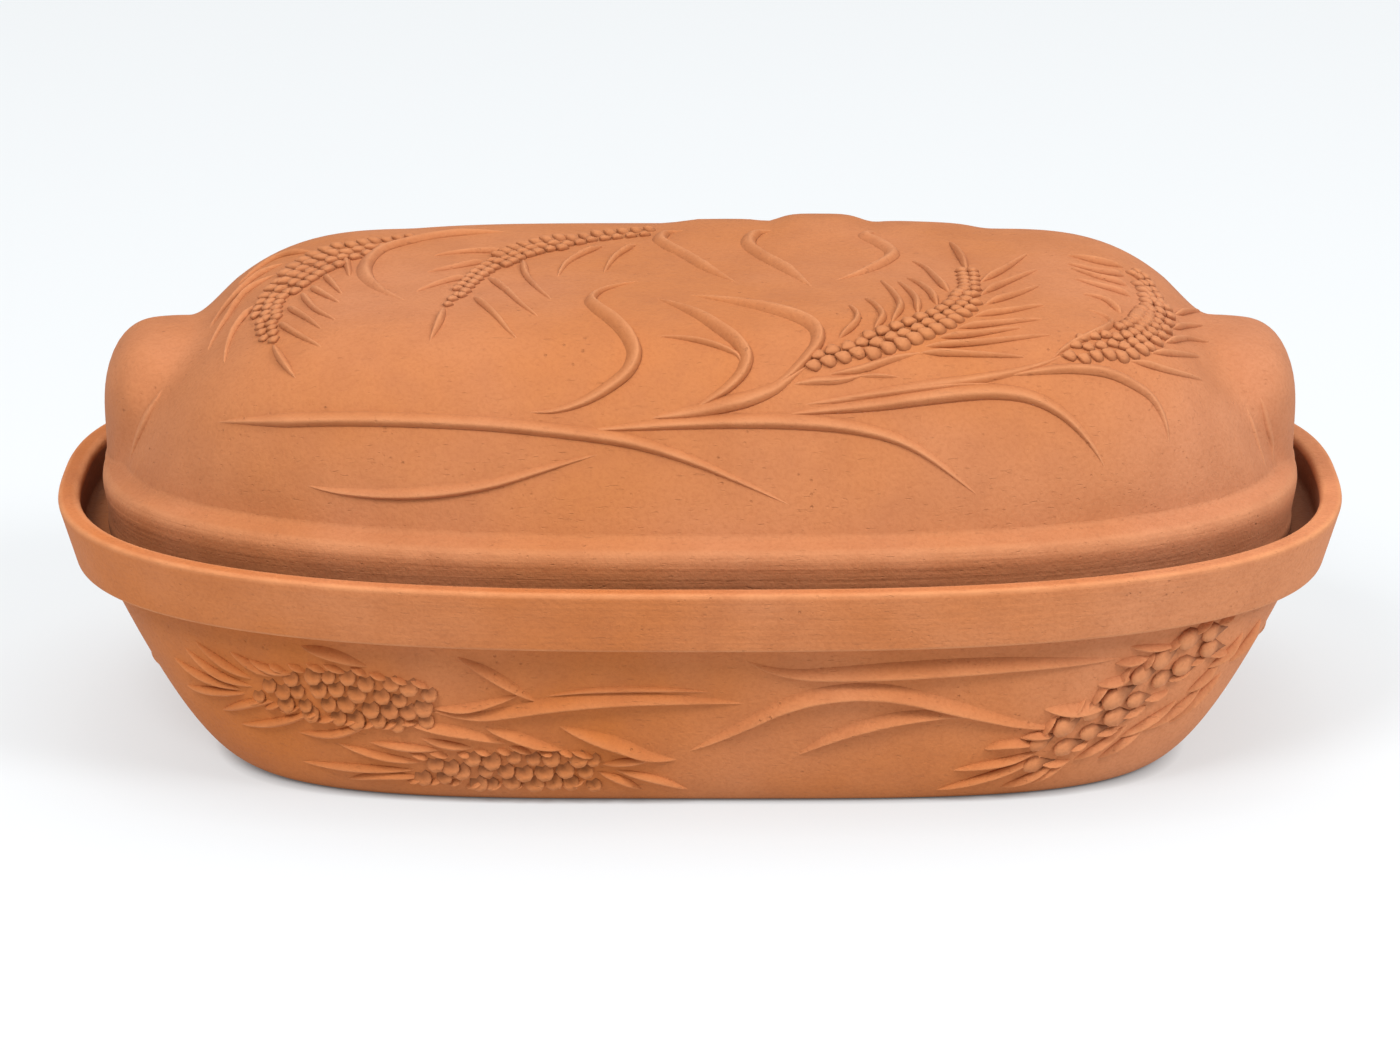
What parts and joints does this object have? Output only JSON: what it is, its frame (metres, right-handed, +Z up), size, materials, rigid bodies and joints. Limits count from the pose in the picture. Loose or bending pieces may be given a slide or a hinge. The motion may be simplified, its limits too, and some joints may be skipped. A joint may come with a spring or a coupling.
{
  "type": "covered bread baker",
  "caption": "Boat-shaped unglazed clay baking dish with a flared collar and a domed lid with an end lug each way, moulded with wheat ears and leaves, for baking a loaf under cover.",
  "frame": {"origin": "middle of the flat underside that the baker stands on", "axes": "+X along the length, through both lugs; +Z up, the way the lid lifts; -Y is the side that the picture shows"},
  "size_m": [0.36, 0.213, 0.1321],
  "materials": {
    "base_clay": "unglazed fired terracotta, matt and finely grained, with faint tooling lines on the collar",
    "lid_clay": "unglazed fired terracotta, matt and finely grained, paler on worn raised edges"
  },
  "bodies": {
    "dish": {"base": "base_clay"},
    "cover": {"lid": "lid_clay"}
  },
  "joints": [
    {"name": "lid_lift", "type": "slide", "parent": "dish", "child": "cover", "axis": [0, 0, 1], "range_m": [0, 0.15]}
  ]
}
